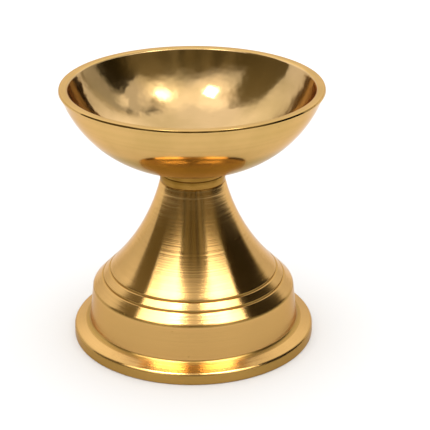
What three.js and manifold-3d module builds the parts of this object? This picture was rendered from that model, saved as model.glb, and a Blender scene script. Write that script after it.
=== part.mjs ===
// A small footed diya oil lamp in turned brass. Lengths are in millimetres and +Z is up.
// The origin is the centre of the foot, on the surface that the lamp stands on.
//
// Four pieces, from the bottom up:
//   pedestal       a hollow turned stem with a flanged foot and a tapped crown
//   neck_collar    a plain ring that sits on the crown
//   threaded_stud  a screw whose plain end is fixed in the bowl and whose thread fits the crown
//   oil_bowl       the open bowl that holds the oil and the wick
// The bowl and its stud unscrew from the pedestal, and the collar stays on the crown.

import * as THREE from "three";
import { mergeVertices } from "three/addons/utils/BufferGeometryUtils.js";
import Module from "manifold-3d";

const wasm = await Module();
wasm.setup();

// ---- Driving dimensions: foot and drum of the pedestal ----
const FOOT_RADIUS = 21.05;
const FOOT_CORNER_HEIGHT = 1.98; // where the foot's side would meet its sloping top
const FOOT_TOP_ROUND = 0.5;
const FOOT_BOTTOM_ROUND = 0.25;
const DRUM_FOOT_RADIUS = 18.3;
const DRUM_FOOT_HEIGHT = 2.93; // where the foot's sloping top meets the drum
const DRUM_FOOT_FILLET = 0.35;
const SHOULDER_RADIUS = 17.58;
const SHOULDER_HEIGHT = 9.2;
const SHOULDER_ROUND = 0.3;

// ---- Driving dimensions: cone, flare and crown of the pedestal ----
const CONE_TOP_RADIUS = 14.05;
const CONE_TOP_HEIGHT = 12.83;
const FLARE_ARC_RADIUS = 36;
const NECK_RADIUS = 5.6;
const CROWN_HEIGHT = 28.6;
const CROWN_EDGE_ROUND = 0.12;
const PEDESTAL_WALL = 1;
const CROWN_THICKNESS = 6.8; // solid metal that the thread is cut in

// ---- Driving dimensions: the two decorative grooves on the cone ----
const GROOVE_RADII = [14.63, 15.87]; // distances of their centre lines from the axis
const GROOVE_WIDTH = 0.46;
const GROOVE_DEPTH = 0.2;

// ---- Driving dimensions: collar ----
const COLLAR_HEIGHT = 1.4;
const COLLAR_EDGE_ROUND = 0.14;

// ---- Driving dimensions: bowl ----
const BOWL_HEIGHT = 15.4; // from the boss face to the top of the rim
const RIM_RADIUS = 22.35;
const RIM_BAND_HEIGHT = 0.4; // the upright edge under the rim's top
const RIM_FLARE = 0.42; // how far the last millimetre of the rim flares past the bowl's arc
const RIM_FLARE_HEIGHT = 0.7;
const RIM_OUTER_ROUND = 0.35;
const RIM_INNER_ROUND = 0.3;
const BOWL_WALL = 1.4;
const BOWL_FLAT_RADIUS = 3.4; // the flat middle of the floor, inside and out
const BOWL_FLOOR_THICKNESS = 2.8; // from the boss face to the floor inside
const BOSS_FILLET = 0.5;
const BOSS_EDGE_ROUND = 0.25;

// ---- Driving dimensions: stud and its thread ----
const THREAD_PITCH = 1;
const STUD_RADIUS = 2.92; // plain shank and crest of the thread
const THREAD_DEPTH = 0.57;
const ROOT_FLAT = 0.25; // share of the pitch that is flat at the thread's root
const CREST_FLAT = 0.125; // share of the pitch that is flat at the thread's crest
const THREAD_REACH = 6; // how far the stud goes into the crown
const SOCKET_DEPTH = 1.8; // blind hole in the boss that holds the stud
const STUD_CHAMFER = 0.4;

// ---- Clearances ----
const THREAD_CLEARANCE = 0.18; // radial, between the stud's thread and the crown's
const COLLAR_CLEARANCE = 0.12; // radial, between the stud's shank and the collar's bore
const SOCKET_CLEARANCE = 0.05; // radial, filled with solder on the real lamp
const THREAD_MOUTH_CLEARANCE = 0.3; // countersink past the thread's crest

// ---- Facets ----
const LATHE_SEGMENTS = 60;
const THREAD_SEGMENTS = 24; // steps in one turn of the thread
const ARC_SAG = 0.025; // how far a long arc may stand off its facets
const ROUND_STEPS = 2; // steps across a small rounded corner
const OVERSHOOT = 1; // how far a cutting tool runs past the metal it cuts

// ---- Heights that follow from the sizes above ----
const COLLAR_TOP = CROWN_HEIGHT + COLLAR_HEIGHT;
const BOWL_BASE = COLLAR_TOP;
const RIM_TOP = BOWL_BASE + BOWL_HEIGHT;
const STUD_TOP = BOWL_BASE + SOCKET_DEPTH;
const STUD_BOTTOM = CROWN_HEIGHT - THREAD_REACH;
const CROWN_CEILING = CROWN_HEIGHT - CROWN_THICKNESS;

// ---- Outline helpers: an outline is a list of points (x = radius, y = height) ----

const at = (radius, height) => new THREE.Vector2(radius, height);

// A corner that is rounded with an arc of the given radius.
function rounded(radius, height, fillet) {
  const corner = at(radius, height);
  corner.fillet = fillet;
  return corner;
}

// The points of an arc about a centre, both ends included.
function arcAbout(centre, radius, startAngle, endAngle) {
  const facetAngle = 2 * Math.acos(1 - ARC_SAG / radius);
  const steps = Math.ceil(Math.abs(endAngle - startAngle) / facetAngle);
  return Array.from({ length: steps + 1 }, (_, i) => {
    const angle = startAngle + ((endAngle - startAngle) * i) / steps;
    return at(centre.x + radius * Math.cos(angle), centre.y + radius * Math.sin(angle));
  });
}

// The points of an arc from one point to another, about a centre on its right-hand side.
function arcBetween(from, to, radius) {
  const chord = to.clone().sub(from);
  const reach = Math.sqrt(radius ** 2 - chord.lengthSq() / 4);
  const right = at(chord.y, -chord.x).normalize();
  const centre = from.clone().add(to).multiplyScalar(0.5).addScaledVector(right, reach);
  const startAngle = Math.atan2(from.y - centre.y, from.x - centre.x);
  const endAngle = Math.atan2(to.y - centre.y, to.x - centre.x);
  const turn = Math.atan2(Math.sin(endAngle - startAngle), Math.cos(endAngle - startAngle));
  return arcAbout(centre, radius, startAngle, startAngle + turn);
}

// Replaces each rounded corner with the points of its tangent arc.
function roundCorners(corners) {
  return corners.flatMap((corner, i) => {
    if (!corner.fillet) return [corner];
    const toPrevious = corners[i - 1].clone().sub(corner).normalize();
    const toNext = corners[i + 1].clone().sub(corner).normalize();
    const half = toPrevious.angleTo(toNext) / 2;
    const inwards = toPrevious.clone().add(toNext).normalize();
    const centre = corner.clone().addScaledVector(inwards, corner.fillet / Math.sin(half));
    const start = corner.clone().addScaledVector(toPrevious, corner.fillet / Math.tan(half));
    const end = corner.clone().addScaledVector(toNext, corner.fillet / Math.tan(half));
    return Array.from({ length: ROUND_STEPS + 1 }, (_, step) => {
      const onChord = start.clone().lerp(end, step / ROUND_STEPS);
      return onChord.sub(centre).setLength(corner.fillet).add(centre);
    });
  });
}

// Moves an open outline sideways, towards its left-hand side.
function offsetOutline(points, distance) {
  return points.map((point, i) => {
    const before = points[Math.max(i - 1, 0)];
    const after = points[Math.min(i + 1, points.length - 1)];
    const into = point.clone().sub(before).normalize();
    const outOf = after.clone().sub(point).normalize();
    const along = into.clone().add(outOf).normalize();
    const stretch = 1 / Math.max(along.dot(into), along.dot(outOf));
    return at(point.x - along.y * distance * stretch, point.y + along.x * distance * stretch);
  });
}

// The stretch of a rising outline between two heights, with a new point on each height.
function betweenHeights(points, low, high) {
  const pointAt = (height) => {
    const above = points.findIndex((point, i) => i > 0 && point.y >= height);
    const [lower, upper] = [points[above - 1], points[above]];
    return lower.clone().lerp(upper, (height - lower.y) / (upper.y - lower.y));
  };
  const inside = points.filter((point) => point.y > low && point.y < high);
  return [pointAt(low), ...inside, pointAt(high)];
}

// ---- Solid helpers ----

// A solid of revolution about +Z. The outline runs so that the metal is on its left.
function turned(outline) {
  const points = roundCorners(outline);
  return new THREE.LatheGeometry(points, LATHE_SEGMENTS).rotateX(Math.PI / 2);
}

// A manifold-3d solid from a closed geometry.
function toSolid(geometry) {
  const bare = geometry.clone();
  bare.deleteAttribute("normal");
  bare.deleteAttribute("uv");
  const merged = mergeVertices(bare, 1e-4);
  return new wasm.Manifold(
    new wasm.Mesh({
      numProp: 3,
      vertProperties: new Float32Array(merged.attributes.position.array),
      triVerts: new Uint32Array(merged.index.array),
    }),
  );
}

// A geometry from a manifold-3d solid.
function toGeometry(solid) {
  const { numProp, vertProperties, triVerts } = solid.getMesh();
  const positions = new Float32Array((vertProperties.length / numProp) * 3);
  for (let i = 0; i < positions.length / 3; i++) {
    positions.set(vertProperties.subarray(i * numProp, i * numProp + 3), i * 3);
  }
  const geometry = new THREE.BufferGeometry();
  geometry.setAttribute("position", new THREE.BufferAttribute(positions, 3));
  geometry.setIndex(new THREE.BufferAttribute(triVerts, 1));
  geometry.computeVertexNormals();
  return geometry;
}

// A right-hand threaded rod: one strip of root, flank, crest and flank wound round the axis,
// closed by a fan at each end. Every rod starts its helix at STUD_BOTTOM minus whole turns,
// so a rod that cuts a thread and the rod that turns in it are in mesh.
function threadedRod(crestRadius, low, high) {
  const rootRadius = crestRadius - THREAD_DEPTH;
  const section = [
    { share: ROOT_FLAT / 2, radius: rootRadius },
    { share: (1 - CREST_FLAT) / 2, radius: crestRadius },
    { share: (1 + CREST_FLAT) / 2, radius: crestRadius },
    { share: 1 - ROOT_FLAT / 2, radius: rootRadius },
  ];
  const turnsBelow = Math.ceil((STUD_BOTTOM - low) / THREAD_PITCH) + 1;
  const start = STUD_BOTTOM - turnsBelow * THREAD_PITCH;
  const turns = Math.ceil((high - start) / THREAD_PITCH) + 1;
  const steps = turns * THREAD_SEGMENTS;
  const corners = section.length;
  const positions = [];
  for (let step = 0; step <= steps + THREAD_SEGMENTS; step++) {
    const angle = (2 * Math.PI * (step % THREAD_SEGMENTS)) / THREAD_SEGMENTS;
    for (const { share, radius } of section) {
      const height = start + THREAD_PITCH * (step / THREAD_SEGMENTS + share);
      positions.push(radius * Math.cos(angle), radius * Math.sin(angle), height);
    }
  }
  // The corner after a step's last one is the first corner of the step one turn later.
  const vertex = (step, corner) =>
    corner < corners ? step * corners + corner : (step + THREAD_SEGMENTS) * corners;
  const triangles = [];
  for (let step = 0; step < steps; step++) {
    for (let corner = 0; corner < corners; corner++) {
      const [a, b] = [vertex(step, corner), vertex(step + 1, corner)];
      const [c, d] = [vertex(step + 1, corner + 1), vertex(step, corner + 1)];
      triangles.push(a, b, c, a, c, d);
    }
  }
  // An open end runs one turn along the strip's edge and then back along the section.
  const addFan = (first, height, facesUp) => {
    const loop = [];
    for (let step = 0; step <= THREAD_SEGMENTS; step++) loop.push(vertex(first + step, 0));
    for (let corner = corners - 1; corner > 0; corner--) loop.push(vertex(first, corner));
    const middle = positions.length / 3;
    positions.push(0, 0, height);
    loop.forEach((from, i) => {
      const to = loop[(i + 1) % loop.length];
      triangles.push(middle, ...(facesUp ? [from, to] : [to, from]));
    });
  };
  addFan(0, start + THREAD_PITCH / 2, false);
  addFan(steps, start + (turns + 1 / 2) * THREAD_PITCH, true);
  const geometry = new THREE.BufferGeometry();
  geometry.setAttribute("position", new THREE.Float32BufferAttribute(positions, 3));
  geometry.setIndex(triangles);
  return toSolid(geometry);
}

// ---- Pieces ----

// The pedestal's outer outline, from the drum's foot up to the crown's edge.
function stemOutline() {
  const coneTop = at(CONE_TOP_RADIUS, CONE_TOP_HEIGHT);
  const crownEdge = at(NECK_RADIUS, CROWN_HEIGHT);
  return [
    at(DRUM_FOOT_RADIUS, DRUM_FOOT_HEIGHT),
    at(SHOULDER_RADIUS, SHOULDER_HEIGHT),
    ...arcBetween(coneTop, crownEdge, FLARE_ARC_RADIUS),
  ];
}

// One V groove in the cone: its lower edge, its bottom and its upper edge.
function grooveOutline(radius) {
  const shoulder = at(SHOULDER_RADIUS, SHOULDER_HEIGHT);
  const upCone = at(CONE_TOP_RADIUS, CONE_TOP_HEIGHT).sub(shoulder).normalize();
  const intoMetal = at(-upCone.y, upCone.x);
  const middle = shoulder.clone().addScaledVector(upCone, (radius - shoulder.x) / upCone.x);
  return [
    middle.clone().addScaledVector(upCone, -GROOVE_WIDTH / 2),
    middle.clone().addScaledVector(intoMetal, GROOVE_DEPTH),
    middle.clone().addScaledVector(upCone, GROOVE_WIDTH / 2),
  ];
}

function makePedestal() {
  const [drumFoot, shoulder, ...flare] = stemOutline();
  drumFoot.fillet = DRUM_FOOT_FILLET;
  shoulder.fillet = SHOULDER_ROUND;
  flare[flare.length - 1].fillet = CROWN_EDGE_ROUND;
  const grooves = [...GROOVE_RADII].sort((a, b) => b - a).flatMap(grooveOutline);

  const innerWall = offsetOutline(stemOutline(), PEDESTAL_WALL);
  const innerFoot = at(innerWall[0].x, 0);
  const hollow = betweenHeights([innerFoot, ...innerWall], 0, CROWN_CEILING).reverse();

  const body = toSolid(
    turned([
      at(0, CROWN_CEILING),
      ...hollow,
      rounded(FOOT_RADIUS, 0, FOOT_BOTTOM_ROUND),
      rounded(FOOT_RADIUS, FOOT_CORNER_HEIGHT, FOOT_TOP_ROUND),
      drumFoot,
      shoulder,
      ...grooves,
      ...flare,
      at(0, CROWN_HEIGHT),
    ]),
  );
  return toGeometry(body.subtract(makeTap()));
}

// What is cut out of the crown: the thread's cavity with a countersink at each end.
function makeTap() {
  const crest = STUD_RADIUS + THREAD_CLEARANCE;
  const root = crest - THREAD_DEPTH;
  const low = CROWN_CEILING - OVERSHOOT;
  const high = CROWN_HEIGHT + OVERSHOOT;
  const mouth = crest + THREAD_MOUTH_CLEARANCE;
  const sink = mouth - root;
  const reach = toSolid(turned([at(0, low), at(mouth, low), at(mouth, high), at(0, high)]));
  const countersinks = toSolid(
    turned([
      at(0, low),
      at(mouth, low),
      at(mouth, CROWN_CEILING),
      at(root - THREAD_CLEARANCE, CROWN_CEILING + sink + THREAD_CLEARANCE),
      at(root - THREAD_CLEARANCE, CROWN_HEIGHT - sink - THREAD_CLEARANCE),
      at(mouth, CROWN_HEIGHT),
      at(mouth, high),
      at(0, high),
    ]),
  );
  return threadedRod(crest, low, high).intersect(reach).add(countersinks);
}

function makeCollar() {
  const bore = STUD_RADIUS + COLLAR_CLEARANCE;
  return turned([
    at(bore, CROWN_HEIGHT),
    rounded(NECK_RADIUS, CROWN_HEIGHT, COLLAR_EDGE_ROUND),
    rounded(NECK_RADIUS, COLLAR_TOP, COLLAR_EDGE_ROUND),
    at(bore, COLLAR_TOP),
    at(bore, CROWN_HEIGHT),
  ]);
}

function makeStud() {
  const turnedStud = toSolid(
    turned([
      at(0, STUD_BOTTOM),
      at(STUD_RADIUS - THREAD_DEPTH, STUD_BOTTOM),
      at(STUD_RADIUS, STUD_BOTTOM + THREAD_DEPTH),
      at(STUD_RADIUS, STUD_TOP - STUD_CHAMFER),
      at(STUD_RADIUS - STUD_CHAMFER, STUD_TOP),
      at(0, STUD_TOP),
    ]),
  );
  const shank = toSolid(
    turned([
      at(0, CROWN_HEIGHT - THREAD_DEPTH),
      at(STUD_RADIUS - THREAD_DEPTH, CROWN_HEIGHT - THREAD_DEPTH),
      at(STUD_RADIUS + OVERSHOOT, CROWN_HEIGHT + OVERSHOOT),
      at(STUD_RADIUS + OVERSHOOT, STUD_TOP + OVERSHOOT),
      at(0, STUD_TOP + OVERSHOOT),
    ]),
  );
  const thread = threadedRod(STUD_RADIUS, STUD_BOTTOM, CROWN_HEIGHT);
  return toGeometry(thread.add(shank).intersect(turnedStud));
}

function makeBowl() {
  const undersideHeight = BOWL_BASE + BOWL_FLOOR_THICKNESS - BOWL_WALL;
  const bandBottom = RIM_TOP - RIM_BAND_HEIGHT;
  const arcTop = at(RIM_RADIUS - RIM_FLARE, bandBottom - RIM_FLARE_HEIGHT);
  // The outer arc starts level at the edge of the flat middle and passes through arcTop.
  const across = arcTop.x - BOWL_FLAT_RADIUS;
  const up = arcTop.y - undersideHeight;
  const outerRadius = (across ** 2 + up ** 2) / (2 * up);
  const innerRadius = outerRadius - BOWL_WALL;
  const centre = at(BOWL_FLAT_RADIUS, undersideHeight + outerRadius);

  // The boss meets the underside where the outer arc is as far out as the boss.
  const bossAngle = -Math.acos((NECK_RADIUS - centre.x) / outerRadius);
  const topAngle = Math.atan2(arcTop.y - centre.y, arcTop.x - centre.x);
  const outside = arcAbout(centre, outerRadius, bossAngle, topAngle);
  outside[0].fillet = BOSS_FILLET;
  const innerTopAngle = Math.asin((RIM_TOP - centre.y) / innerRadius);
  const inside = arcAbout(centre, innerRadius, innerTopAngle, -Math.PI / 2);
  inside[0].fillet = RIM_INNER_ROUND;

  const socketRadius = STUD_RADIUS + SOCKET_CLEARANCE;
  return turned([
    at(0, STUD_TOP),
    at(socketRadius, STUD_TOP),
    at(socketRadius, BOWL_BASE),
    rounded(NECK_RADIUS, BOWL_BASE, BOSS_EDGE_ROUND),
    ...outside,
    at(RIM_RADIUS, bandBottom),
    rounded(RIM_RADIUS, RIM_TOP, RIM_OUTER_ROUND),
    ...inside,
    at(0, centre.y - innerRadius),
  ]);
}

// ---- The lamp ----

const polishedBrass = new THREE.MeshStandardMaterial({
  color: 0xd9ae62,
  roughness: 0.22,
  metalness: 1,
});
const turnedBrass = new THREE.MeshStandardMaterial({
  color: 0xcfa45a,
  roughness: 0.32,
  metalness: 1,
});

function piece(name, geometry, material) {
  const mesh = new THREE.Mesh(geometry, material);
  mesh.name = name;
  return mesh;
}

const bowlAssembly = new THREE.Group();
bowlAssembly.add(piece("oil_bowl", makeBowl(), polishedBrass.clone()));
bowlAssembly.add(piece("threaded_stud", makeStud(), turnedBrass.clone()));

const group = new THREE.Group();
group.add(piece("pedestal", makePedestal(), polishedBrass.clone()));
group.add(piece("neck_collar", makeCollar(), turnedBrass.clone()));
group.add(bowlAssembly);

export default group;
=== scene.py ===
# %% [markdown]
# # A turned brass diya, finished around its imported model
# A diya is a small oil lamp. This one is four pieces of brass: a bowl, the screw under it, a plain ring at
# the neck, and a hollow flared pedestal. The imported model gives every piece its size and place. This lesson
# makes the smooth, finished surfaces that polished metal needs, because a mirror shows every flat facet.

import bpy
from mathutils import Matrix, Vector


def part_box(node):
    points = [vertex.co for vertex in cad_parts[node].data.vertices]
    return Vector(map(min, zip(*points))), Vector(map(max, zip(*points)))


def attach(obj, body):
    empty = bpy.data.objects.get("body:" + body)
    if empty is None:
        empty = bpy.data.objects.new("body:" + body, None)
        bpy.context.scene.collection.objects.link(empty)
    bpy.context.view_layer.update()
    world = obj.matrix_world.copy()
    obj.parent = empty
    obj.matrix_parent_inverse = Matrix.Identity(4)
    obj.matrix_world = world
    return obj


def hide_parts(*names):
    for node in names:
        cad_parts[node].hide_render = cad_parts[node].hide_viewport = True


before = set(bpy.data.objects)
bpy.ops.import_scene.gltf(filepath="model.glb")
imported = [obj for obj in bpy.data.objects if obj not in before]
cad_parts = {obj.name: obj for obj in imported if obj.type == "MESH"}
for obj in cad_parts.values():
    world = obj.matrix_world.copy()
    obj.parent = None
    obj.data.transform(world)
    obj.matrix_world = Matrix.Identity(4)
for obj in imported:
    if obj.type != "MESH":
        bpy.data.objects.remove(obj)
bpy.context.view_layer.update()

# %% [markdown]
# ## The other modules, and the units
# bmesh holds the modelling operators, and bpy the rest of Blender. Blender counts in metres. A lamp this
# small is easier to think of in millimetres, so a size is written as so many times MM.

# %% The other modules, and the units
import math

import bmesh
import bpy
from mathutils import Vector

MM = 0.001
MICRON = 0.000001

# %% [markdown]
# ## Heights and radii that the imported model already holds
# A piece is read as a box: its lowest and highest corner. For turned work the box gives the largest radius
# and the two end heights, so the lesson never has to guess where a piece sits.

# %% Read the boxes
foot_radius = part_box("pedestal")[1].x
crown_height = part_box("pedestal")[1].z
collar_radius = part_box("neck_collar")[1].x
collar_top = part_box("neck_collar")[1].z
rim_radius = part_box("oil_bowl")[1].x
rim_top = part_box("oil_bowl")[1].z
stud_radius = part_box("threaded_stud")[1].x
stud_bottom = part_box("threaded_stud")[0].z
stud_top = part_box("threaded_stud")[1].z
print(f"foot {foot_radius / MM:.2f}, rim {rim_radius / MM:.2f}, neck {collar_radius / MM:.2f} mm in radius")

# %% [markdown]
# ## The camera
# A long lens far from a small object keeps its ellipses calm. The camera looks down on the lamp, so that
# the inside of the bowl shows. It is turned a little to the side, which leaves room beside the lamp.

# %% Place the camera
CAMERA_DISTANCE = 242.66 * MM
CAMERA_HEIGHT = 126.58 * MM
CAMERA_PITCH = math.radians(23.369)
CAMERA_PAN = math.radians(0.901)
LENS_MM = 127.9
SENSOR_MM = 36
NEAREST_SEEN = 10 * MM

camera_data = bpy.data.cameras.new("Camera")
camera_data.lens = LENS_MM
camera_data.sensor_width = SENSOR_MM
camera_data.clip_start = NEAREST_SEEN
camera = bpy.data.objects.new("Camera", camera_data)
camera.location = (0, -CAMERA_DISTANCE, CAMERA_HEIGHT)
camera.rotation_euler = (math.pi / 2 - CAMERA_PITCH, 0, -CAMERA_PAN)
bpy.context.scene.collection.objects.link(camera)
bpy.context.scene.camera = camera
print("field of view:", round(math.degrees(camera_data.angle), 1), "degrees")

# %% [markdown]
# ## Drawing a half-section
# A turner thinks in half-sections: the outline of one side of the work, which the lathe then carries all
# the way round. The pen below draws such an outline with mesh operators. It starts as one vertex. A line is
# that vertex extruded and moved, and an arc is that vertex spun about the arc's centre. Spinning the whole
# outline about the lamp's axis makes the surface. A Screw modifier could do the same, but the operators
# leave a finished mesh, and the rings can then be picked out and bevelled one by one.

# %% The pen
ARC_STEP = math.radians(2.5)


class Outline:
    """A half-section that grows from its last point. Radii and heights are in metres."""

    def __init__(self, radius, height):
        self.mesh = bmesh.new()
        self.tip = self.mesh.verts.new((radius, 0, height))

    def line(self, radius, height):
        grown = bmesh.ops.extrude_vert_indiv(self.mesh, verts=[self.tip])["verts"]
        bmesh.ops.translate(self.mesh, verts=grown, vec=Vector((radius, 0, height)) - self.tip.co)
        self.tip = grown[0]
        return self

    def arc(self, centre_radius, centre_height, angle):
        """Turns about a centre. A positive angle goes anticlockwise in the section, radius to the right."""
        steps = max(2, math.ceil(abs(angle) / ARC_STEP))
        spun = bmesh.ops.spin(
            self.mesh, geom=[self.tip], cent=(centre_radius, 0, centre_height),
            axis=(0, -1, 0), angle=angle, steps=steps, use_merge=False, use_duplicate=False,
        )["geom_last"]
        self.tip = next(part for part in spun if isinstance(part, bmesh.types.BMVert))
        return self


print("an arc is drawn in steps of", round(math.degrees(ARC_STEP), 1), "degrees")

# %% [markdown]
# ## From a half-section to a solid
# The lathe's turn is a full spin. Its seam is merged, which closes the surface. Points on the axis land on
# each other and are merged too, so the pole is one vertex. A spin can come out inside out, so the normals
# are worked out again afterwards. A closed solid has no open edge, and counting open edges is the quickest
# test of that.

# %% Spin an outline all the way round
TURN_STEPS = 240
MERGE = 0.5 * MICRON


def spin_full(outline):
    mesh = outline.mesh
    bmesh.ops.spin(
        mesh, geom=mesh.verts[:] + mesh.edges[:], cent=(0, 0, 0), axis=(0, 0, 1),
        angle=math.tau, steps=TURN_STEPS, use_merge=True, use_duplicate=False,
    )
    bmesh.ops.remove_doubles(mesh, verts=mesh.verts, dist=MERGE)
    bmesh.ops.recalc_face_normals(mesh, faces=mesh.faces)
    return mesh


def open_edges(mesh):
    return [edge for edge in mesh.edges if not edge.is_manifold]


print("a turn is", TURN_STEPS, "steps of", round(math.tau * rim_radius / TURN_STEPS / MM, 2), "mm at the rim")

# %% [markdown]
# ## Corners that catch the light
# The corners of the section become rings of edges. A real corner is never perfectly sharp: the cutting tool
# and the polishing cloth leave a small radius, which shows as a bright line. So each ring that needs it is
# picked out by its radius and height, and bevelled. A Bevel modifier would round every corner alike, and
# these differ.

# %% Find a ring and round it
ON_RING = 5 * MICRON


def ring(mesh, radius, height):
    """The edges of the ring at that radius and height."""
    def on_ring(vertex):
        off_radius = abs(math.hypot(vertex.co.x, vertex.co.y) - radius)
        return off_radius < ON_RING and abs(vertex.co.z - height) < ON_RING
    return [edge for edge in mesh.edges if all(on_ring(vertex) for vertex in edge.verts)]


def round_ring(mesh, radius, height, reach, segments=4):
    """Rounds a ring. reach is how far the rounding runs along each neighbouring face."""
    edges = ring(mesh, radius, height)
    bmesh.ops.bevel(
        mesh, geom=edges, offset=reach, offset_type="OFFSET", segments=segments, profile=0.5,
        affect="EDGES", material=-1, clamp_overlap=True,
    )
    print(f"  ring at {radius / MM:.2f}, {height / MM:.2f} mm: {len(edges)} edges, {reach / MM:.2f} mm round")


# %% [markdown]
# ## Finishing a piece
# Smooth shading hides the flat faces, and the edges that stay sharp are marked. Weighted normals then let
# the large faces decide the shading, so that a narrow rounded corner doesn't smear across the face beside
# it. Last, the piece is tied to its moving body, and the imported node that it stands for is hidden.

# %% Turn a mesh into a finished piece
SHARP = math.radians(35)


def finished(name, mesh, body, node):
    for face in mesh.faces:
        face.smooth = True
    for edge in mesh.edges:
        edge.smooth = not edge.is_manifold or edge.calc_face_angle(0) < SHARP
    data = bpy.data.meshes.new(name)
    mesh.to_mesh(data)
    mesh.free()
    piece = bpy.data.objects.new(name, data)
    bpy.context.scene.collection.objects.link(piece)
    weighted = piece.modifiers.new("Weighted normals", "WEIGHTED_NORMAL")
    weighted.keep_sharp = True
    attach(piece, body)
    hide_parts(node)
    print(name, len(data.polygons), "faces")
    return piece


# %% [markdown]
# ## The bowl
# The bowl was cast and then turned inside and out. Outside and inside are two arcs about one centre, so the
# wall is even. The arcs' centre stands a little off the axis, which leaves the middle of the bowl flat. The
# rim is a flat land above a narrow band that leans in, and a short boss under the bowl carries a blind
# socket for the screw. A sphere cut in half would be quicker, but it has neither the flat middle nor the
# rim.

# %% Work out the bowl's arcs
BOWL_WALL = 1.4 * MM
BOWL_FLAT_RADIUS = 3.4 * MM
BOWL_FLOOR_THICKNESS = 2.8 * MM
RIM_BAND_HEIGHT = 0.4 * MM
RIM_BAND_LEAN = 0.15 * MM
RIM_FLARE = 0.42 * MM
RIM_FLARE_HEIGHT = 0.7 * MM

bowl_base = collar_top
underside = bowl_base + BOWL_FLOOR_THICKNESS - BOWL_WALL
band_bottom = rim_top - RIM_BAND_HEIGHT
land_radius = rim_radius - RIM_BAND_LEAN
arc_top_radius = rim_radius - RIM_FLARE
arc_top_height = band_bottom - RIM_FLARE_HEIGHT
across = arc_top_radius - BOWL_FLAT_RADIUS
up = arc_top_height - underside
bowl_arc = (across**2 + up**2) / (2 * up)
bowl_arc_inside = bowl_arc - BOWL_WALL
bowl_centre = underside + bowl_arc

boss_angle = -math.acos((collar_radius - BOWL_FLAT_RADIUS) / bowl_arc)
boss_top = bowl_centre + bowl_arc * math.sin(boss_angle)
top_angle = math.atan2(arc_top_height - bowl_centre, across)
inner_top_angle = math.asin((rim_top - bowl_centre) / bowl_arc_inside)
inner_rim_radius = BOWL_FLAT_RADIUS + bowl_arc_inside * math.cos(inner_top_angle)
floor_height = bowl_centre - bowl_arc_inside
print(f"bowl arcs: {bowl_arc / MM:.2f} mm outside, {bowl_arc_inside / MM:.2f} mm inside")

# %% Draw and spin the bowl
SOCKET_CLEARANCE = 0.05 * MM

socket_radius = stud_radius + SOCKET_CLEARANCE
bowl_outline = Outline(0, stud_top).line(socket_radius, stud_top).line(socket_radius, bowl_base)
bowl_outline.line(collar_radius, bowl_base).line(collar_radius, boss_top)
bowl_outline.arc(BOWL_FLAT_RADIUS, bowl_centre, top_angle - boss_angle)
bowl_outline.line(rim_radius, band_bottom).line(land_radius, rim_top).line(inner_rim_radius, rim_top)
bowl_outline.arc(BOWL_FLAT_RADIUS, bowl_centre, -math.pi / 2 - inner_top_angle).line(0, floor_height)
bowl_mesh = spin_full(bowl_outline)
print("bowl open edges:", len(open_edges(bowl_mesh)))

# %% Round the bowl's rings
BOSS_EDGE = 0.14 * MM
BOSS_ROOT = 0.45 * MM
BAND_EDGE = 0.08 * MM
RIM_EDGE = 0.14 * MM
LIP_ROUND = 0.4 * MM

round_ring(bowl_mesh, collar_radius, bowl_base, BOSS_EDGE)
round_ring(bowl_mesh, collar_radius, boss_top, BOSS_ROOT)
round_ring(bowl_mesh, rim_radius, band_bottom, BAND_EDGE)
round_ring(bowl_mesh, land_radius, rim_top, RIM_EDGE)
round_ring(bowl_mesh, inner_rim_radius, rim_top, LIP_ROUND, segments=8)
bowl = finished("turned_bowl", bowl_mesh, "bowl", "oil_bowl")

# %% [markdown]
# ## The neck collar
# A plain ring between the bowl's boss and the crown of the pedestal. It could be a tube with a Bevel
# modifier, and the pen does it in one more outline. Its corners are broken, and so is the boss's, so the
# joint between them shows as a fine dark line with a bright edge on each side.

# %% Draw and spin the collar
COLLAR_CLEARANCE = 0.12 * MM
COLLAR_EDGE = 0.14 * MM

collar_bore = stud_radius + COLLAR_CLEARANCE
collar_outline = Outline(collar_bore, crown_height).line(collar_radius, crown_height)
collar_outline.line(collar_radius, collar_top).line(collar_bore, collar_top)
collar_outline.line(collar_bore, crown_height)
collar_mesh = spin_full(collar_outline)
for corner_radius in (collar_radius, collar_bore):
    for corner_height in (crown_height, collar_top):
        round_ring(collar_mesh, corner_radius, corner_height, COLLAR_EDGE)
print("collar bore", round(collar_bore / MM, 2), "mm, open edges:", len(open_edges(collar_mesh)))
collar = finished("turned_collar", collar_mesh, "collar", "neck_collar")

# %% [markdown]
# ## A screw thread
# A thread is one small section carried round a helix. Spin does that when it also moves a little along the
# axis at each step. After one turn the section's last point is where its first point was one pitch higher,
# so merging doubles joins all the turns into one surface. A bump would look much the same from afar, but
# this thread shows when the bowl is unscrewed. It is wound longer than it has to be, and two flat cuts then
# give it clean ends.

# %% Wind a thread
THREAD_PITCH = 1 * MM
THREAD_DEPTH = 0.57 * MM
THREAD_STEPS = 60  # in one turn
THREAD_MERGE = 2 * MICRON
SPARE_TURNS = 3
ROOT_SHARE, FLANK_SHARE, CREST_SHARE = 0.25, 0.3125, 0.125  # of the pitch
CUT_SLACK = 0.1 * MICRON


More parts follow.
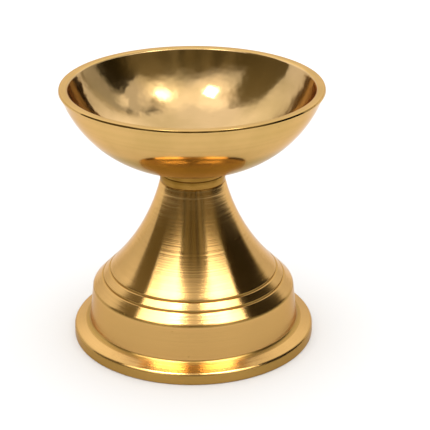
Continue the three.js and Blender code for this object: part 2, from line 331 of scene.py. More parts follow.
def thread(crest_radius, low, high):
    """A right-hand thread between two heights, open at both ends, in step with every other thread here."""
    root_radius = crest_radius - THREAD_DEPTH
    turns = math.ceil((high - low) / THREAD_PITCH) + SPARE_TURNS
    whole_turns_below = math.ceil((stud_bottom - low) / THREAD_PITCH) + 1
    height = stud_bottom + (ROOT_SHARE / 2 - whole_turns_below) * THREAD_PITCH
    section = Outline(root_radius, height)
    for radius, share in (
        (crest_radius, FLANK_SHARE), (crest_radius, CREST_SHARE),
        (root_radius, FLANK_SHARE), (root_radius, ROOT_SHARE),
    ):
        height += share * THREAD_PITCH
        section.line(radius, height)
    mesh = section.mesh
    bmesh.ops.spin(
        mesh, geom=mesh.verts[:] + mesh.edges[:], cent=(0, 0, 0), axis=(0, 0, 1),
        dvec=(0, 0, THREAD_PITCH / THREAD_STEPS), angle=math.tau * turns, steps=THREAD_STEPS * turns,
        use_merge=False, use_duplicate=False,
    )
    bmesh.ops.remove_doubles(mesh, verts=mesh.verts, dist=THREAD_MERGE)
    for cut, upwards in ((low, -1), (high, 1)):
        bmesh.ops.bisect_plane(
            mesh, geom=mesh.verts[:] + mesh.edges[:] + mesh.faces[:], dist=CUT_SLACK,
            plane_co=(0, 0, cut), plane_no=(0, 0, upwards), clear_outer=True,
        )
    print(f"thread {2 * crest_radius / MM:.2f} mm across, from {low / MM:.2f} to {high / MM:.2f} mm up")
    return mesh


# %% [markdown]
# ## Joining open ends
# A thread is left open at both ends, and what it joins has an open ring at the same height. Both go into
# one mesh, as when two objects are joined, and the two open loops are then bridged.

# %% Pick an open end, and copy one mesh into another


def end_loop(mesh, height):
    """The open edges that lie at a height."""
    def at_height(vertex):
        return abs(vertex.co.z - height) < ON_RING
    return [edge for edge in open_edges(mesh) if all(at_height(vertex) for vertex in edge.verts)]


def add_mesh(target, other):
    """Copies one mesh into another, and frees the other."""
    data = bpy.data.meshes.new("joining")
    other.to_mesh(data)
    other.free()
    target.from_mesh(data)
    bpy.data.meshes.remove(data)


# %% [markdown]
# ## The screw
# The stud is a plain shank above and a thread below. The shank is spun, the thread is wound, and the two
# open rings are bridged. The lower end is drawn in to a lead, so that it finds the hole.

# %% Wind the stud's thread and draw in its point
STUD_CHAMFER = 0.4 * MM
THREAD_RUNOUT = 0.3 * MM
LEAD_HEIGHT = 0.35 * MM
LEAD_INSET = 0.1 * MM

shank_bottom = crown_height - THREAD_DEPTH
thread_bottom = stud_bottom + LEAD_HEIGHT
thread_top = shank_bottom - THREAD_RUNOUT
stud_mesh = thread(stud_radius, thread_bottom, thread_top)
lead_ring = bmesh.ops.extrude_edge_only(stud_mesh, edges=end_loop(stud_mesh, thread_bottom))["geom"]
lead_verts = [part for part in lead_ring if isinstance(part, bmesh.types.BMVert)]
point_radius = stud_radius - THREAD_DEPTH - LEAD_INSET
for vertex in lead_verts:
    outwards = Vector((vertex.co.x, vertex.co.y, 0)).normalized()
    vertex.co = outwards * point_radius + Vector((0, 0, stud_bottom))
bmesh.ops.holes_fill(stud_mesh, edges=end_loop(stud_mesh, stud_bottom), sides=0)
print("the point is", round(2 * point_radius / MM, 2), "mm across")

# %% Spin the shank and bridge it to the thread
shank_outline = Outline(stud_radius, shank_bottom).line(stud_radius, stud_top - STUD_CHAMFER)
shank_outline.line(stud_radius - STUD_CHAMFER, stud_top).line(0, stud_top)
add_mesh(stud_mesh, spin_full(shank_outline))
loops = end_loop(stud_mesh, thread_top) + end_loop(stud_mesh, shank_bottom)
bmesh.ops.bridge_loops(stud_mesh, edges=loops)
bmesh.ops.recalc_face_normals(stud_mesh, faces=stud_mesh.faces)
print("stud open edges:", len(open_edges(stud_mesh)))
stud = finished("machined_stud", stud_mesh, "bowl", "threaded_stud")

# %% [markdown]
# ## The pedestal
# One casting, turned outside: a flanged foot with a sloping top, a drum, a shoulder, a cone with two cut
# grooves, and a flare that sweeps up to the crown. Inside it is hollow and follows the outside at an even
# wall. It could be drawn as a solid and given its wall by a Solidify modifier, but the crown is much
# thicker than the wall, so inside and outside are one closed outline.

# %% Sizes of the pedestal
FOOT_CORNER_HEIGHT = 1.98 * MM
DRUM_FOOT_RADIUS, DRUM_FOOT_HEIGHT = 18.3 * MM, 2.93 * MM
SHOULDER_RADIUS, SHOULDER_HEIGHT = 17.58 * MM, 9.2 * MM
CONE_TOP_RADIUS, CONE_TOP_HEIGHT = 14.05 * MM, 12.83 * MM
FLARE_ARC = 36 * MM

drum_foot = Vector((DRUM_FOOT_RADIUS, DRUM_FOOT_HEIGHT))
shoulder = Vector((SHOULDER_RADIUS, SHOULDER_HEIGHT))
cone_top = Vector((CONE_TOP_RADIUS, CONE_TOP_HEIGHT))
crown_edge = Vector((collar_radius, crown_height))
down_cone = (shoulder - cone_top).normalized()
into_metal = Vector((down_cone.y, -down_cone.x))  # square to the cone
drum_up = Vector((SHOULDER_RADIUS - DRUM_FOOT_RADIUS, SHOULDER_HEIGHT - DRUM_FOOT_HEIGHT)).normalized()
print("the cone falls at", round(math.degrees(math.atan2(-down_cone.y, down_cone.x)), 1), "degrees")

# %% [markdown]
# ## The flare
# The flare is a hollow arc. A turner would set its radius and the two points that it joins, and find the
# centre with a compass, and the helper does the same.

# %% Find the flare's centre


def arc_centre(start, end, arc_radius):
    """The centre, out in the open, of the flare's arc through two points."""
    chord = end - start
    reach = math.sqrt(arc_radius**2 - chord.length_squared / 4)
    return (start + end) / 2 + Vector((chord.y, -chord.x)).normalized() * reach


def arc_angle(centre, start, end):
    """The angle from start to end about the centre, the short way round."""
    turn = math.atan2(end.y - centre.y, end.x - centre.x) - math.atan2(start.y - centre.y, start.x - centre.x)
    return math.remainder(turn, math.tau)


flare_centre = arc_centre(cone_top, crown_edge, FLARE_ARC)
print("flare centre in mm:", [round(value / MM, 2) for value in flare_centre])

# %% [markdown]
# ## The outside, with its grooves
# The outline starts in the mouth of the tapped hole and goes over the crown and down the outside. Each
# groove is a V that the corner of a tool cut square into the cone: two lips and a bottom. It is real
# geometry and not a bump, because it casts a shadow line that follows the view.

# %% Draw the outside
THREAD_CLEARANCE = 0.18 * MM
MOUTH_CLEARANCE = 0.3 * MM
SINK_DEPTH = 0.35 * MM
SINK_DRAW = 0.25 * MM  # how much narrower the countersink is at its bottom
GROOVE_RADII = (14.63 * MM, 15.87 * MM)
GROOVE_WIDTH, GROOVE_DEPTH = 0.46 * MM, 0.2 * MM


def on_cone(radius):
    """The point of the cone's slope at that radius."""
    return cone_top + down_cone * (radius - cone_top.x) / down_cone.x


mouth_radius = stud_radius + THREAD_CLEARANCE + MOUTH_CLEARANCE
sink_bottom = crown_height - SINK_DEPTH
sink_radius = mouth_radius - SINK_DRAW
pedestal_outline = Outline(sink_radius, sink_bottom).line(mouth_radius, crown_height).line(*crown_edge)
pedestal_outline.arc(*flare_centre, arc_angle(flare_centre, crown_edge, cone_top))
for groove_radius in GROOVE_RADII:
    middle = on_cone(groove_radius)
    pedestal_outline.line(*(middle - down_cone * GROOVE_WIDTH / 2))
    pedestal_outline.line(*(middle + into_metal * GROOVE_DEPTH))
    pedestal_outline.line(*(middle + down_cone * GROOVE_WIDTH / 2))
pedestal_outline.line(*shoulder).line(*drum_foot)
pedestal_outline.line(foot_radius, FOOT_CORNER_HEIGHT).line(foot_radius, 0)
print("grooves at heights of", [round(on_cone(radius).y / MM, 2) for radius in GROOVE_RADII], "mm")

# %% [markdown]
# ## The hollow
# The core of the casting left the hollow. Its drum, cone and flare each lie one wall thickness inside the
# outer ones, and the outline comes back up along them: from the foot to the corner where the two straight
# walls cross, up the cone, and along the flare's own centre to the underside of the crown.

# %% Draw the hollow
PEDESTAL_WALL = 1 * MM
CROWN_THICKNESS = 6.8 * MM


def crossing(point, along, other_point, other_along):
    """Where two straight lines of the section cross."""
    gap = other_point - point
    spread = along.x * other_along.y - along.y * other_along.x
    return point + along * (gap.x * other_along.y - gap.y * other_along.x) / spread


inner_drum_foot = drum_foot + Vector((-drum_up.y, drum_up.x)) * PEDESTAL_WALL
inner_shoulder = crossing(inner_drum_foot, drum_up, shoulder + into_metal * PEDESTAL_WALL, down_cone)
inner_cone_top = cone_top + (cone_top - flare_centre).normalized() * PEDESTAL_WALL
ceiling = crown_height - CROWN_THICKNESS
inner_arc = FLARE_ARC + PEDESTAL_WALL
ceiling_edge = Vector((flare_centre.x - math.sqrt(inner_arc**2 - (flare_centre.y - ceiling) ** 2), ceiling))
ceiling_sink_bottom = ceiling + SINK_DEPTH

pedestal_outline.line(inner_drum_foot.x, 0).line(*inner_drum_foot).line(*inner_shoulder)
pedestal_outline.line(*inner_cone_top)
pedestal_outline.arc(*flare_centre, arc_angle(flare_centre, inner_cone_top, ceiling_edge))
pedestal_outline.line(mouth_radius, ceiling).line(sink_radius, ceiling_sink_bottom)
print("inner shoulder in mm:", [round(value / MM, 2) for value in inner_shoulder])

# %% [markdown]
# ## Spinning it, and rounding its rings
# Each outer ring gets the radius that its tool left there: tiny at the grooves, larger at the shoulder and
# the flange. The two inner rings get the fillets of a casting.

# %% Spin the pedestal and round its rings
CROWN_EDGE = 0.12 * MM
GROOVE_LIP = 0.06 * MM
SHOULDER_ROUND = 0.3 * MM
DRUM_FILLET = 0.3 * MM
FLANGE_ROUND = 0.4 * MM
FOOT_EDGE = 0.25 * MM
HOLLOW_EDGE = 0.3 * MM
HOLLOW_FILLET = 0.4 * MM

pedestal_mesh = spin_full(pedestal_outline)
round_ring(pedestal_mesh, *crown_edge, CROWN_EDGE)
for groove_radius in GROOVE_RADII:
    for side in (-1, 1):
        lip = on_cone(groove_radius) + down_cone * side * GROOVE_WIDTH / 2
        round_ring(pedestal_mesh, *lip, GROOVE_LIP, segments=2)
round_ring(pedestal_mesh, *shoulder, SHOULDER_ROUND, segments=6)
round_ring(pedestal_mesh, *drum_foot, DRUM_FILLET)
round_ring(pedestal_mesh, foot_radius, FOOT_CORNER_HEIGHT, FLANGE_ROUND, segments=6)
round_ring(pedestal_mesh, foot_radius, 0, FOOT_EDGE)
round_ring(pedestal_mesh, inner_drum_foot.x, 0, HOLLOW_EDGE)
round_ring(pedestal_mesh, *inner_shoulder, HOLLOW_FILLET)

# %% [markdown]
# ## Tapping the crown
# The hole's thread is the stud's, wider by its clearance, and in step with it, so the stud turns in it
# freely. Its two ends are bridged to the countersinks, which closes the piece.

# %% Tap the crown
TAP_RUNOUT = 0.15 * MM

tapped_top = sink_bottom - TAP_RUNOUT
tapped_bottom = ceiling_sink_bottom + TAP_RUNOUT
add_mesh(pedestal_mesh, thread(stud_radius + THREAD_CLEARANCE, tapped_bottom, tapped_top))
for ring_height, thread_end in ((sink_bottom, tapped_top), (ceiling_sink_bottom, tapped_bottom)):
    loops = end_loop(pedestal_mesh, ring_height) + end_loop(pedestal_mesh, thread_end)
    bmesh.ops.bridge_loops(pedestal_mesh, edges=loops)
bmesh.ops.recalc_face_normals(pedestal_mesh, faces=pedestal_mesh.faces)
print("pedestal open edges:", len(open_edges(pedestal_mesh)))
pedestal = finished("turned_pedestal", pedestal_mesh, "pedestal", "pedestal")

# %% [markdown]
# ## Brass
# Polished brass has almost no colour of its own except in what it mirrors: the metal tints every reflection
# yellow. So the material is a metal with a strong tint, and everything else that the eye reads as brass is
# small: fine rings that the lathe left, slow waves from hand polishing, a few pits from the casting, a darker
# film in patches, and painted shade in grooves and corners, at the foot and under the bowl. Painted images
# could hold these marks, but node groups stay sharp at any distance.
# Each mark is one group, used again with other values on every piece.

# %% Add nodes, and feed them sockets or plain values


def add_node(tree, kind, **settings):
    node = tree.nodes.new(kind)
    for name, value in settings.items():
        setattr(node, name, value)
    return node


def feed(tree, value, socket):
    """Wires a socket to this one, or sets a plain value on it."""
    if isinstance(value, bpy.types.NodeSocket):
        tree.links.new(value, socket)
    else:
        socket.default_value = value


def feed_named(tree, node, **values):
    """Feeds inputs by name. An underscore stands for a blank."""
    for label, value in values.items():
        feed(tree, value, node.inputs[label.replace("_", " ")])


# %% [markdown]
# ## Three helpers for the sums
# Most of a mask is arithmetic: one value times another, a smooth step between two levels, or one colour
# mixed into another. Each helper below adds one node and returns its output, so a mask reads like a sum.

# %% Sums, smooth steps and mixed colours


def maths(tree, operation, first, second=None):
    """A Math node. Its inputs are sockets or plain numbers."""
    node = add_node(tree, "ShaderNodeMath", operation=operation)
    feed(tree, first, node.inputs[0])
    if second is not None:
        feed(tree, second, node.inputs[1])
    return node.outputs[0]


def ramp(tree, value, low, high, to_low=0.0, to_high=1.0):
    """A smooth step: to_low below low, to_high above high."""
    node = add_node(tree, "ShaderNodeMapRange", interpolation_type="SMOOTHSTEP", clamp=True)
    feed_named(tree, node, Value=value, From_Min=low, From_Max=high, To_Min=to_low, To_Max=to_high)
    return node.outputs["Result"]


def mixed(tree, share, first, second, blend="MIX"):
    """One colour where share is 0 and the other where it is 1."""
    node = add_node(tree, "ShaderNodeMix", data_type="RGBA", blend_type=blend)
    feed_named(tree, node, Factor=share, A=first, B=second)
    return node.outputs["Result"]


# %% [markdown]
# ## A node group
# A group is a small tree with its own inputs and outputs, like a function. All of these groups read the
# place on the piece in metres, from Object coordinates, and put out numbers only. The shader itself stays
# in the material.

# %% Start a group, and put one to use


def new_group(name, inputs, outputs):
    """A shader node group with number inputs, given as name and default, and number outputs."""
    group = bpy.data.node_groups.new(name, "ShaderNodeTree")
    for label, default in inputs:
        socket = group.interface.new_socket(name=label, in_out="INPUT", socket_type="NodeSocketFloat")
        socket.default_value = default
    for label in outputs:
        group.interface.new_socket(name=label, in_out="OUTPUT", socket_type="NodeSocketFloat")
    entry = group.nodes.new("NodeGroupInput")
    leaving = group.nodes.new("NodeGroupOutput")
    return group, entry.outputs, leaving.inputs


def group_node(tree, group, **values):
    node = add_node(tree, "ShaderNodeGroup", node_tree=group)
    feed_named(tree, node, **values)
    return node


def object_place(group):
    """The place on the piece, and its three coordinates."""
    place = add_node(group, "ShaderNodeTexCoord").outputs["Object"]
    parts = add_node(group, "ShaderNodeSeparateXYZ")
    feed(group, place, parts.inputs[0])
    return place, parts.outputs


# %% [markdown]
# ## Lathe rings
# A cutting tool leaves a groove that winds round the work so slowly that it looks like rings. A noise in
# one dimension makes them, along a line that runs down the section: the height plus the radius, or the
# height less the radius where the surface slopes the other way. Broader streaks come from the same line. A
# wave texture would make rings of one even width, which looks machined by a computer and not by hand.

# %% Lathe rings
RING_DETAIL = 3.0
RING_ROUGHNESS = 0.6
STREAKS_PER_MM = 0.8
STREAK_DETAIL = 1.0
STREAK_FROM, STREAK_FULL = 0.35, 0.7  # of the noise


def make_lathe_rings():
    group, given, result = new_group(
        "Lathe rings", [("Lean", 1.0), ("Rings per mm", 4.0)], ["Height", "Streak"],
    )
    _, parts = object_place(group)
    x_squared = maths(group, "POWER", parts["X"], 2.0)
    y_squared = maths(group, "POWER", parts["Y"], 2.0)
    radius = maths(group, "SQRT", maths(group, "ADD", x_squared, y_squared))
    along = maths(group, "ADD", parts["Z"], maths(group, "MULTIPLY", radius, given["Lean"]))
    in_mm = maths(group, "MULTIPLY", along, 1 / MM)
    fine = add_node(group, "ShaderNodeTexNoise", noise_dimensions="1D")
    spaced = maths(group, "MULTIPLY", in_mm, given["Rings per mm"])
    feed_named(group, fine, W=spaced, Scale=1.0, Detail=RING_DETAIL, Roughness=RING_ROUGHNESS)
    broad = add_node(group, "ShaderNodeTexNoise", noise_dimensions="1D")
    feed_named(group, broad, W=in_mm, Scale=STREAKS_PER_MM, Detail=STREAK_DETAIL)
    feed(group, fine.outputs[0], result["Height"])
    feed(group, ramp(group, broad.outputs[0], STREAK_FROM, STREAK_FULL), result["Streak"])
    return group


lathe_rings = make_lathe_rings()
print(lathe_rings.name, "has", len(lathe_rings.nodes), "nodes")

# %% [markdown]
# ## Hand polish
# A cloth or a wheel held by hand leaves slow waves, which bend the reflections, and soft patches where more
# or less of the film was rubbed away. Two noises make them, and the patches are wider than the waves.

# %% Hand polish
POLISH_DETAIL = 3.0
PATCH_SCALE = 0.6
PATCH_FROM, PATCH_FULL = 0.35, 0.65  # of the noise


def make_hand_polish():
    group, given, result = new_group("Hand polish", [("Size mm", 4.0)], ["Height", "Patch"])
    place, _ = object_place(group)
    waves = add_node(group, "ShaderNodeTexNoise")
    patches = add_node(group, "ShaderNodeTexNoise")
    scale = maths(group, "DIVIDE", 1 / MM, given["Size mm"])
    for noise, share in ((waves, 1.0), (patches, PATCH_SCALE)):
        noise_scale = maths(group, "MULTIPLY", scale, share)
        feed_named(group, noise, Vector=place, Scale=noise_scale, Detail=POLISH_DETAIL)
    feed(group, waves.outputs[0], result["Height"])
    feed(group, ramp(group, patches.outputs[0], PATCH_FROM, PATCH_FULL), result["Patch"])
    return group


hand_polish = make_hand_polish()
print(hand_polish.name, "has", len(hand_polish.nodes), "nodes")

# %% [markdown]
# ## Casting pits
# Gas in the melt leaves round specks that the lathe opens. A Voronoi texture has one point in each of its
# cells. Its random colour decides which cells have a pit and how big it is. Modelled pits would cost many
# faces and be no clearer at this size.

# %% Casting pits
LARGEST_PIT = 0.16  # of the spacing
PIT_FLOOR = 0.5  # of the pit's radius


def make_casting_pits():
    group, given, result = new_group("Casting pits", [("Spacing mm", 0.9), ("Share", 0.2)], ["Pit"])
    place, _ = object_place(group)
    cells = add_node(group, "ShaderNodeTexVoronoi")
    feed_named(group, cells, Vector=place, Scale=maths(group, "DIVIDE", 1 / MM, given["Spacing mm"]))
    chance = add_node(group, "ShaderNodeSeparateColor")
    feed(group, cells.outputs["Color"], chance.inputs[0])
    chosen = maths(group, "LESS_THAN", chance.outputs[0], given["Share"])
    size = maths(group, "MULTIPLY", chance.outputs[1], LARGEST_PIT)
    pit_floor = maths(group, "MULTIPLY", size, PIT_FLOOR)
    speck = ramp(group, cells.outputs["Distance"], pit_floor, size, 1.0, 0.0)
    feed(group, maths(group, "MULTIPLY", speck, chosen), result["Pit"])
    return group


casting_pits = make_casting_pits()
print(casting_pits.name, "has", len(casting_pits.nodes), "nodes")

# %% [markdown]
# ## A band round the axis
# A band darkens the brass at one height. Most bands are painted shade: in a groove, in a corner, at the
# foot and under the bowl, where light doesn't reach or the brass mirrors something dark. At a joint it is a
# dark line. On turned work all of these run round at one height, so the mask is the distance from a height.
# An ambient occlusion node would find corners by itself, but a band can be set place by place.

# %% A band round the axis
BAND_CORE = 0.5  # of the half width


def make_band():
    group, given, result = new_group("Band", [("Height", 0.0), ("Half width", 1 * MM)], ["Mask"])
    _, parts = object_place(group)
    away = maths(group, "ABSOLUTE", maths(group, "SUBTRACT", parts["Z"], given["Height"]))
    core = maths(group, "MULTIPLY", given["Half width"], BAND_CORE)
    feed(group, ramp(group, away, core, given["Half width"], 1.0, 0.0), result["Mask"])
    return group


band = make_band()
print("node groups:", [group.name for group in bpy.data.node_groups])

# %% [markdown]
# ## One brass, many finishes
# Every finish below is the same metal. What changes is its tint, how smooth it is, how strongly the rings
# of the lathe spread the light up and down the work, how much film and dirt is left, and how much painted
# shade it carries. The spread is the Anisotropic value: rings run round the lamp, so light is smeared across
# them.

# %% A brass finish
CLEAN_BRASS = (0.66, 0.415, 0.15)
# The darker tint: film and dirt in patches, and painted shade where the bands lie.
FILM_AND_SHADE_BRASS = (0.34, 0.20, 0.04)
GRAZING_BRASS = (0.88, 0.75, 0.62, 1)  # the tint at a flat angle
PIT_DIRT = 0.8
PIT_DEPTH = 12.0  # microns
FILM_HAZE = 0.2  # how much rougher the film is
RING_HAZE = 0.2  # of the finish's own roughness
QUARTER_TURN = 0.25


def brass(name, roughness, spread, ring_depth, lean=1.0, rings_per_mm=4.0, wave_depth=4.0, wave_size=4.0,
          pit_share=0.15, film=0.15, streaks=0.07, bands=(), tint=CLEAN_BRASS, film_and_shade_tint=FILM_AND_SHADE_BRASS):
    """Depths are in microns. film and streaks say how much of the darker film shows, from 0 to 1."""
    material = bpy.data.materials.new(name)
    material.use_nodes = True
    tree = material.node_tree
    shader = tree.nodes["Principled BSDF"]
    rings = group_node(tree, lathe_rings, Lean=lean, Rings_per_mm=rings_per_mm).outputs
    polish = group_node(tree, hand_polish, Size_mm=wave_size).outputs
    pit = group_node(tree, casting_pits, Share=pit_share).outputs["Pit"]

    dark = maths(tree, "MULTIPLY", polish["Patch"], film)
    dark = maths(tree, "ADD", dark, maths(tree, "MULTIPLY", rings["Streak"], streaks))
    dark = maths(tree, "MAXIMUM", dark, maths(tree, "MULTIPLY", pit, PIT_DIRT))
    # The bands paint shade into the colour: in grooves and corners, at the foot and under the bowl.
    for height, half_width, strength in bands:
        mask = group_node(tree, band, Height=height, Half_width=half_width).outputs["Mask"]
        dark = maths(tree, "MAXIMUM", dark, maths(tree, "MULTIPLY", mask, strength))

    rough = maths(tree, "ADD", maths(tree, "MULTIPLY", dark, FILM_HAZE), roughness)
    rough = maths(tree, "ADD", rough, maths(tree, "MULTIPLY", rings["Height"], roughness * RING_HAZE))

    depth = maths(tree, "MULTIPLY", rings["Height"], ring_depth)
    depth = maths(tree, "ADD", depth, maths(tree, "MULTIPLY", polish["Height"], wave_depth))
    depth = maths(tree, "SUBTRACT", depth, maths(tree, "MULTIPLY", pit, PIT_DEPTH))
    bump = add_node(tree, "ShaderNodeBump")
    feed_named(tree, bump, Distance=MICRON, Height=depth)

    colour = mixed(tree, dark, (*tint, 1), (*film_and_shade_tint, 1))
    feed_named(tree, shader, Base_Color=colour, Roughness=rough, Normal=bump.outputs["Normal"])
    feed_named(tree, shader, Metallic=1.0, Specular_Tint=GRAZING_BRASS)
    feed_named(tree, shader, Anisotropic=spread, Anisotropic_Rotation=QUARTER_TURN)
    print(f"{name}: roughness {roughness}, spread {spread}, {len(bands)} bands")
    return material


# %% [markdown]
# ## Where the painted shade lies
# Each band is a height, a half width and a strength. The narrow ones are the grooves, the corners of the
# drum and the two joints at the neck: tarnish and painted shade in the grooves, painted shade in the corner
# at the drum's foot and for the dark room that the shoulder's rounding mirrors, and a dark line at each
# joint.
# The wide ones are painted shade: on the edge of the flange and the side of the drum, which mirror the floor
# shaded by the foot, and on the round of the bowl above its boss, under the bowl.

# %% The bands
GROOVE_SHADE_REACH = 0.22 * MM
SHOULDER_SHADE_DROP = 0.1 * MM

# Painted shade in grooves (with tarnish), corners, at the foot and under the bowl; the joints are dark lines.
groove_tarnish_and_shade_bands = [(on_cone(radius).y, GROOVE_SHADE_REACH, 0.75) for radius in GROOVE_RADII]
corner_shade_bands = [(DRUM_FOOT_HEIGHT, 0.35 * MM, 0.7), (SHOULDER_HEIGHT - SHOULDER_SHADE_DROP, 0.3 * MM, 0.6)]
joint_bands = [(collar_top, 0.14 * MM, 0.4), (crown_height, 0.12 * MM, 0.3)]
foot_shade_bands = [(0.9 * MM, 1.4 * MM, 0.75), (6.1 * MM, 3.9 * MM, 0.3)]
underside_shade_bands = [(underside + 2.9 * MM, 4.8 * MM, 0.72)]
pedestal_bands = groove_tarnish_and_shade_bands + corner_shade_bands + joint_bands + foot_shade_bands
print("bands on the pedestal at heights of", [round(height / MM, 2) for height, _, _ in pedestal_bands], "mm")

# %% [markdown]
# ## The finishes
# The pedestal's outside is satin from the lathe, with rings deep enough to stripe the highlights. The
# bowl's outside is polished bright. Its inside has long shallow waves, which break the reflections into
# ragged patches. The collar and the boss are rougher and darker in tint. The hollow is rough as cast, and
# the screw is plain machined brass.

# %% Make the finishes
# Its bands paint shade in the grooves, the corners, the foot and the drum.
flare_brass = brass(
    "Brass turned flare", 0.13, 0.9, ring_depth=18.0, rings_per_mm=1.6, lean=-1.0, wave_depth=2.0,
    bands=pedestal_bands, tint=(0.66, 0.395, 0.14),
)
hollow_brass = brass(
    "Brass cast hollow", 0.48, 0.0, ring_depth=0.6, lean=-1.0, wave_depth=40.0, wave_size=1.2,
    pit_share=0.5, film=0.7, tint=(0.55, 0.31, 0.10),
)
# Its band paints shade under the bowl, in an olive tint.
outside_brass = brass(
    "Brass bowl outside", 0.06, 0.5, ring_depth=0.8, wave_depth=1.5,
    bands=underside_shade_bands, film_and_shade_tint=(0.26, 0.195, 0.02),
)
inside_brass = brass(
    "Brass bowl inside", 0.07, 0.0, ring_depth=0.1, wave_depth=230.0, wave_size=8.0,
    film=0.6, streaks=0.02, tint=(0.70, 0.465, 0.22), film_and_shade_tint=(0.46, 0.31, 0.11),
)
collar_finish = brass(
    "Brass collar", 0.16, 0.6, ring_depth=6.0, lean=-1.0, film=0.9, streaks=0.4,
    bands=joint_bands, tint=(0.38, 0.21, 0.05), film_and_shade_tint=(0.25, 0.13, 0.02),
)
stud_finish = brass("Brass stud", 0.25, 0.0, ring_depth=0.5, film=0.5)

# %% [markdown]
# ## Which finish goes where
# A piece can carry more than one finish, one material slot each. A test on each face's middle picks the
# slot. On the bowl it is the distance from the arcs' centre, which tells the inside from the outside. On
# the pedestal it is the way the face looks: the hollow's faces look towards the axis or down.

# %% Give a piece its finishes
SOCKET_MARGIN = 0.3 * MM
LIP_MARGIN = 0.1 * MM
CEILING_MARGIN = 0.1 * MM
FOOT_MARGIN = 0.4 * MM
LOOKS_IN = -0.1  # how far the normal points away from the axis
LOOKS_DOWN = -0.5  # how far the normal points up


def give(piece, finishes, choose):
    for finish in finishes:
        piece.data.materials.append(finish)
    for face in piece.data.polygons:
        face.material_index = choose(face)
    print(piece.name, "carries", [finish.name for finish in finishes])


def radius_of(face):
    return math.hypot(face.center.x, face.center.y)


def bowl_zone(face):
    """0 for the outside, 1 for the inside, 2 for the boss, which takes the collar's darker brass."""
    if face.center.z < boss_top and radius_of(face) > stud_radius + SOCKET_MARGIN:
        return 2
    from_centre = math.hypot(radius_of(face) - BOWL_FLAT_RADIUS, face.center.z - bowl_centre)
    over_flat = radius_of(face) < BOWL_FLAT_RADIUS and face.center.z > underside + BOWL_WALL / 2
    inside_wall = from_centre < bowl_arc - BOWL_WALL / 2 and face.center.z < rim_top - LIP_MARGIN
    above_socket = face.center.z > stud_top + BOWL_WALL / 4
    return int(above_socket and (over_flat or inside_wall))


def pedestal_zone(face):
    """0 for the outside, 1 for the hollow."""
    outwards = face.normal.x * face.center.x + face.normal.y * face.center.y
    looks_in = outwards < LOOKS_IN * radius_of(face)
    looks_down = face.normal.z < LOOKS_DOWN
    below_crown = face.center.z < ceiling + CEILING_MARGIN
    above_foot = face.center.z > FOOT_MARGIN
    return int(below_crown and above_foot and (looks_in or looks_down))


give(bowl, [outside_brass, inside_brass, collar_finish], bowl_zone)
give(pedestal, [flare_brass, hollow_brass], pedestal_zone)
give(collar, [collar_finish], lambda face: 0)
give(stud, [stud_finish], lambda face: 0)

# %% [markdown]
# ## The floor
# The lamp stands on a plain white floor, large enough that its edge is never seen. It is dull, so that it
# shows a soft shadow and no reflection.

# %% Lay the floor
FLOOR_SIDE = 4.0
FLOOR_WHITE = (0.8, 0.8, 0.8, 1)
FLOOR_ROUGHNESS = 0.7
FLOOR_SHEEN = 0.2


def make_floor():
    mesh = bmesh.new()
    bmesh.ops.create_grid(mesh, x_segments=1, y_segments=1, size=FLOOR_SIDE / 2)
    data = bpy.data.meshes.new("floor")
    mesh.to_mesh(data)
    mesh.free()
    floor = bpy.data.objects.new("floor", data)
    bpy.context.scene.collection.objects.link(floor)
    material = bpy.data.materials.new("White floor")
    material.use_nodes = True
    shader = material.node_tree.nodes["Principled BSDF"]
    feed_named(material.node_tree, shader, Base_Color=FLOOR_WHITE, Roughness=FLOOR_ROUGHNESS)
    feed_named(material.node_tree, shader, Specular_IOR_Level=FLOOR_SHEEN)
    data.materials.append(material)
    return floor


floor = make_floor()
print("floor", round(floor.dimensions.x, 2), "m across")

# %% [markdown]
# ## The soft boxes
# Metal shows what is round it, so lighting it means placing bright shapes for it to mirror. Two small soft
# boxes hang high on the left and the right. They make the two bright spots in the bowl. They are hidden
# from the floor, which gets an even light from the room, so they cast no hard shadow. An emissive plane
# would do as well, but an area light is sampled directly and leaves less grain.

# %% Hang the soft boxes
LIGHT_DISTANCE = 0.9
LEFT_BOX = (-40, 68)  # azimuth from the camera's side and elevation, in degrees
RIGHT_BOX = (58, 65)
BOX_SPREAD = 11  # degrees across
BOX_RADIANCE = 6.0


def towards(azimuth, elevation):
    """The direction from the lamp to a point of the studio."""
    turn = math.radians(azimuth)
    lift = math.radians(elevation)
    return Vector((math.sin(turn) * math.cos(lift), -math.cos(turn) * math.cos(lift), math.sin(lift)))


def width_at_light(degrees):
    """How wide a light has to be to fill that angle, seen from the lamp."""
    return 2 * LIGHT_DISTANCE * math.tan(math.radians(degrees) / 2)


def studio_light(name, azimuth, elevation, width, height, radiance):
    """A light that faces the lamp and looks equally bright whatever its size, which is in degrees."""
    light = bpy.data.lights.new(name, "AREA")
    light.shape = "RECTANGLE"
    light.size = width_at_light(width)
    light.size_y = width_at_light(height)
    light.energy = radiance * math.pi * light.size * light.size_y
    direction = towards(azimuth, elevation)
    holder = bpy.data.objects.new(name, light)
    holder.location = direction * LIGHT_DISTANCE
    holder.rotation_mode = "QUATERNION"
    holder.rotation_quaternion = direction.to_track_quat("Z", "Y")
    bpy.context.scene.collection.objects.link(holder)
    print(f"{name}: {light.size:.2f} by {light.size_y:.2f} m, {light.energy:.2f} W")
    return holder


for box_name, box_place in (("Left soft box", LEFT_BOX), ("Right soft box", RIGHT_BOX)):
    soft_box = studio_light(box_name, *box_place, BOX_SPREAD, BOX_SPREAD, BOX_RADIANCE)
    soft_box.visible_diffuse = False

# %% [markdown]
# ## Side panels
# The cone is satin, so it wants broad panels at its sides, with the dark between them left as strips. The
# bowl is polished, and would mirror those same panels as hard white shapes. On a set each would be hidden
# from the other by a black flag. Here light linking does that: a panel names the one piece that it lights.

